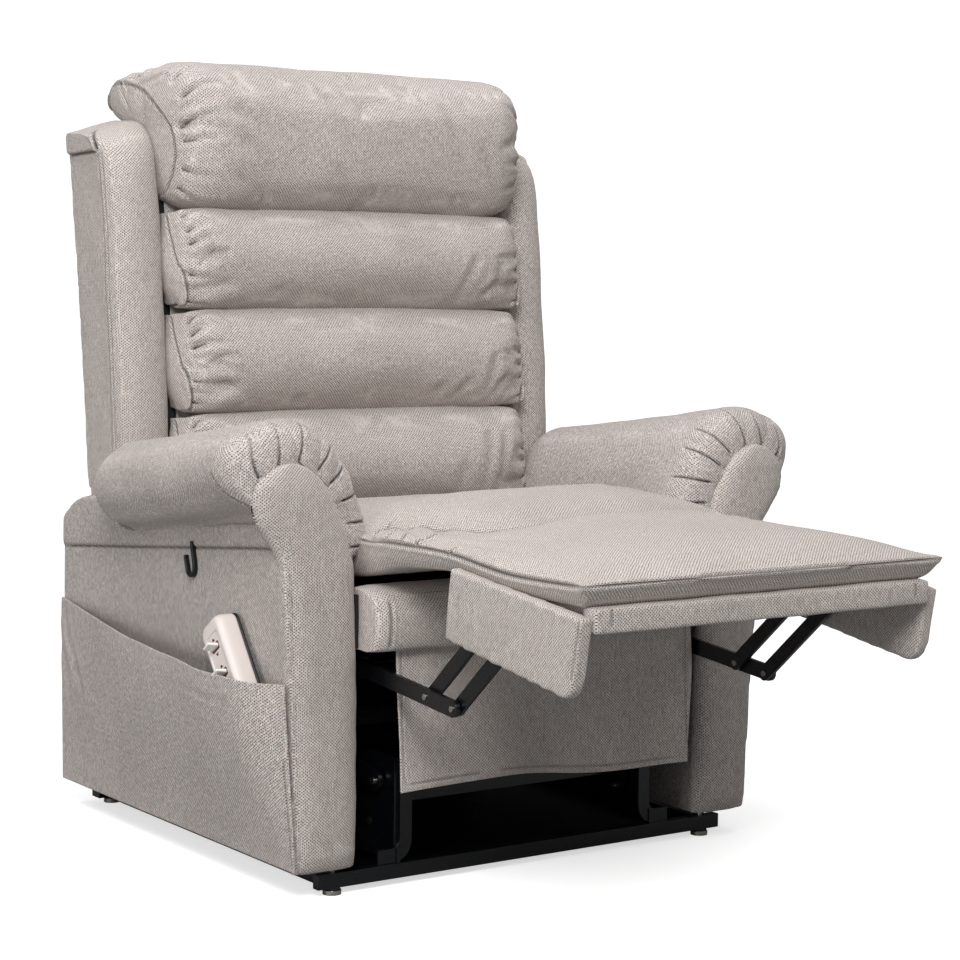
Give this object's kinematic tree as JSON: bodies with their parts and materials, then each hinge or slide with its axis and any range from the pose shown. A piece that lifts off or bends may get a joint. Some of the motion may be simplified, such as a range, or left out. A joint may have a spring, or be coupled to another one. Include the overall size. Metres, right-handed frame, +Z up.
{
  "type": "lift recliner chair",
  "caption": "Upholstered power lift recliner with pillow back, rolled pleated arms, extended footrest, side pocket with handset, and a steel lift base on levelling feet.",
  "frame": {"origin": "on the floor, under the centre of the whole chair's box with the footrest out", "axes": "+Z up, -Y the way the sitter faces, +X the sitter's left"},
  "size_m": [0.962, 1.186, 1.1344],
  "materials": {
    "body_fabric": "woven",
    "black_steel": "semi-gloss black powder coat",
    "zinc": "zinc plated",
    "nickel": "polished",
    "frame_wood": "plain",
    "black_webbing": "woven",
    "motor_plastic": "fine texture",
    "rod_aluminium": "satin",
    "hook_plastic": "satin",
    "handset_plastic": "fine texture",
    "lever_plastic": "fine texture"
  },
  "bodies": {
    "base": {"base_frame": "black_steel", "base_front_strips": "black_steel", "base_uprights": "black_steel", "base_pins": "zinc", "foot_nuts": "hook_plastic"},
    "foot_right_front": {"levelling_foot_right_front": "nickel"},
    "foot_right_rear": {"levelling_foot_right_rear": "nickel"},
    "foot_left_front": {"levelling_foot_left_front": "nickel"},
    "foot_left_rear": {"levelling_foot_left_rear": "nickel"},
    "lift_arms": {"lift_arms": "black_steel", "lift_cross_tube": "black_steel"},
    "lift_links": {"lift_links": "black_steel"},
    "carriage": {"carriage_side_plates": "black_steel", "carriage_tubes": "black_steel", "carriage_pins": "zinc", "seat_front_rail": "body_fabric", "seat_side_rails": "frame_wood", "seat_rear_rail": "frame_wood", "seat_webbing": "black_webbing", "seat_cushion": "body_fabric", "front_curtain": "body_fabric", "arm_outer_panels": "body_fabric", "arm_inner_panels": "body_fabric", "arm_rear_panels": "body_fabric", "arm_front_panels": "body_fabric", "arm_top_boards": "frame_wood", "arm_pads": "body_fabric", "rear_panel": "body_fabric", "side_pocket": "body_fabric", "handset_hook": "hook_plastic"},
    "footrest": {"footrest_board": "body_fabric", "footrest_flaps": "body_fabric", "footrest_brackets": "black_steel", "footrest_pins": "zinc", "calf_pad": "body_fabric"},
    "footrest_levers": {"footrest_levers": "black_steel", "footrest_cross_tube": "black_steel", "footrest_lever_pins": "zinc"},
    "footrest_links_rear": {"footrest_links_rear": "black_steel"},
    "footrest_links_front": {"footrest_links_front": "black_steel"},
    "lift_motor": {"lift_motor_housing": "motor_plastic"},
    "lift_motor_rod": {"lift_motor_rod": "rod_aluminium"},
    "footrest_motor": {"footrest_motor_housing": "motor_plastic"},
    "footrest_motor_rod": {"footrest_motor_rod": "rod_aluminium"},
    "back_motor": {"back_motor_housing": "motor_plastic"},
    "back_motor_rod": {"back_motor_rod": "rod_aluminium"},
    "back": {"back_frame": "frame_wood", "back_webbing": "black_webbing", "back_shell": "body_fabric", "wing_panels": "body_fabric", "wing_rolls": "body_fabric", "pillow_head": "body_fabric", "pillow_upper": "body_fabric", "pillow_lower": "body_fabric", "pillow_lumbar": "body_fabric", "back_brackets": "black_steel", "back_cross_tube": "black_steel"},
    "handset": {"handset_body": "handset_plastic"},
    "handset_lever_upper": {"handset_lever_upper": "lever_plastic"},
    "handset_lever_lower": {"handset_lever_lower": "lever_plastic"}
  },
  "joints": [
    {"name": "back_recline", "type": "hinge", "parent": "carriage", "child": "back", "pos_m": [0, 0.505, 0.44], "axis": [-1, 0, 0], "range_deg": [0, 38]},
    {"name": "chair_lift", "type": "hinge", "parent": "base", "child": "lift_arms", "pos_m": [0, -0.03, 0.075], "axis": [1, 0, 0], "range_deg": [0, 52]},
    {"name": "footrest_fold", "type": "hinge", "parent": "carriage", "child": "footrest", "pos_m": [0, -0.19, 0.444], "axis": [1, 0, 0], "range_deg": [0, 84]},
    {"name": "handset_lever_lower", "type": "hinge", "parent": "handset", "child": "handset_lever_lower", "pos_m": [-0.434, -0.01085, 0.2939], "axis": [0, -0.809, 0.5878], "range_deg": [-12, 12]},
    {"name": "handset_lever_upper", "type": "hinge", "parent": "handset", "child": "handset_lever_upper", "pos_m": [-0.434, 0.01208, 0.32545], "axis": [0, -0.809, 0.5878], "range_deg": [-12, 12]},
    {"name": "handset_lift", "type": "slide", "parent": "carriage", "child": "handset", "axis": [-0.0599, 0, 0.9982], "range_m": [0, 0.1]},
    {"name": "levelling_foot_left_front", "type": "slide", "parent": "base", "child": "foot_left_front", "axis": [0, 0, -1], "range_m": [0, 0.01]},
    {"name": "levelling_foot_left_rear", "type": "slide", "parent": "base", "child": "foot_left_rear", "axis": [0, 0, -1], "range_m": [0, 0.01]},
    {"name": "levelling_foot_right_front", "type": "slide", "parent": "base", "child": "foot_right_front", "axis": [0, 0, -1], "range_m": [0, 0.01]},
    {"name": "levelling_foot_right_rear", "type": "slide", "parent": "base", "child": "foot_right_rear", "axis": [0, 0, -1], "range_m": [0, 0.01]},
    {"name": "link_lever", "type": "hinge", "parent": "carriage", "child": "footrest_levers", "pos_m": [0, -0.03, 0.302], "axis": [1, 0, 0], "range_deg": [0, 84]},
    {"name": "link_rear", "type": "hinge", "parent": "footrest_levers", "child": "footrest_links_rear", "pos_m": [0, -0.234, 0.2812], "axis": [1, 0, 0], "range_deg": [-84, 0]},
    {"name": "link_front", "type": "hinge", "parent": "footrest_levers", "child": "footrest_links_front", "pos_m": [0, -0.295, 0.275], "axis": [1, 0, 0], "range_deg": [-84, 0]},
    {"name": "link_lift", "type": "hinge", "parent": "base", "child": "lift_links", "pos_m": [0, -0.0545, 0.135], "axis": [1, 0, 0], "range_deg": [0, 52.5]},
    {"name": "motor_swing_back", "type": "hinge", "parent": "carriage", "child": "back_motor", "pos_m": [0, 0.04, 0.235], "axis": [1, 0, 0], "range_deg": [0, 1.2]},
    {"name": "motor_stroke_back", "type": "slide", "parent": "back_motor", "child": "back_motor_rod", "axis": [0, 0.9718, 0.236], "range_m": [-0.0578, 0]},
    {"name": "motor_swing_footrest", "type": "hinge", "parent": "carriage", "child": "footrest_motor", "pos_m": [0, 0.24, 0.24], "axis": [1, 0, 0], "range_deg": [0, 2.95]},
    {"name": "motor_stroke_footrest", "type": "slide", "parent": "footrest_motor", "child": "footrest_motor_rod", "axis": [0, -0.9939, 0.1101], "range_m": [-0.061, 0]},
    {"name": "motor_swing_lift", "type": "hinge", "parent": "base", "child": "lift_motor", "pos_m": [0, 0.498, 0.078], "axis": [1, 0, 0], "range_deg": [0, 2.3]},
    {"name": "motor_stroke_lift", "type": "slide", "parent": "lift_motor", "child": "lift_motor_rod", "axis": [0, -0.9892, 0.1463], "range_m": [0, 0.0674]},
    {"name": "tilt_carriage", "type": "hinge", "parent": "lift_arms", "child": "carriage", "pos_m": [0, 0.36, 0.08], "axis": [1, 0, 0], "range_deg": [-25, 0]}
  ],
  "couplings": [
    {"joint": "tilt_carriage", "follows": "chair_lift", "ratio": -0.48},
    {"joint": "link_lift", "follows": "chair_lift", "ratio": 1.007},
    {"joint": "motor_swing_lift", "follows": "chair_lift", "ratio": 0.04366},
    {"joint": "motor_stroke_lift", "follows": "chair_lift", "m_per_rad": 0.07415},
    {"joint": "link_lever", "follows": "footrest_fold", "ratio": 1},
    {"joint": "link_rear", "follows": "footrest_fold", "ratio": -1},
    {"joint": "link_front", "follows": "footrest_fold", "ratio": -1},
    {"joint": "motor_swing_footrest", "follows": "footrest_fold", "ratio": 0.03455},
    {"joint": "motor_stroke_footrest", "follows": "footrest_fold", "m_per_rad": -0.04157},
    {"joint": "motor_swing_back", "follows": "back_recline", "ratio": 0.03107},
    {"joint": "motor_stroke_back", "follows": "back_recline", "m_per_rad": -0.08706}
  ]
}
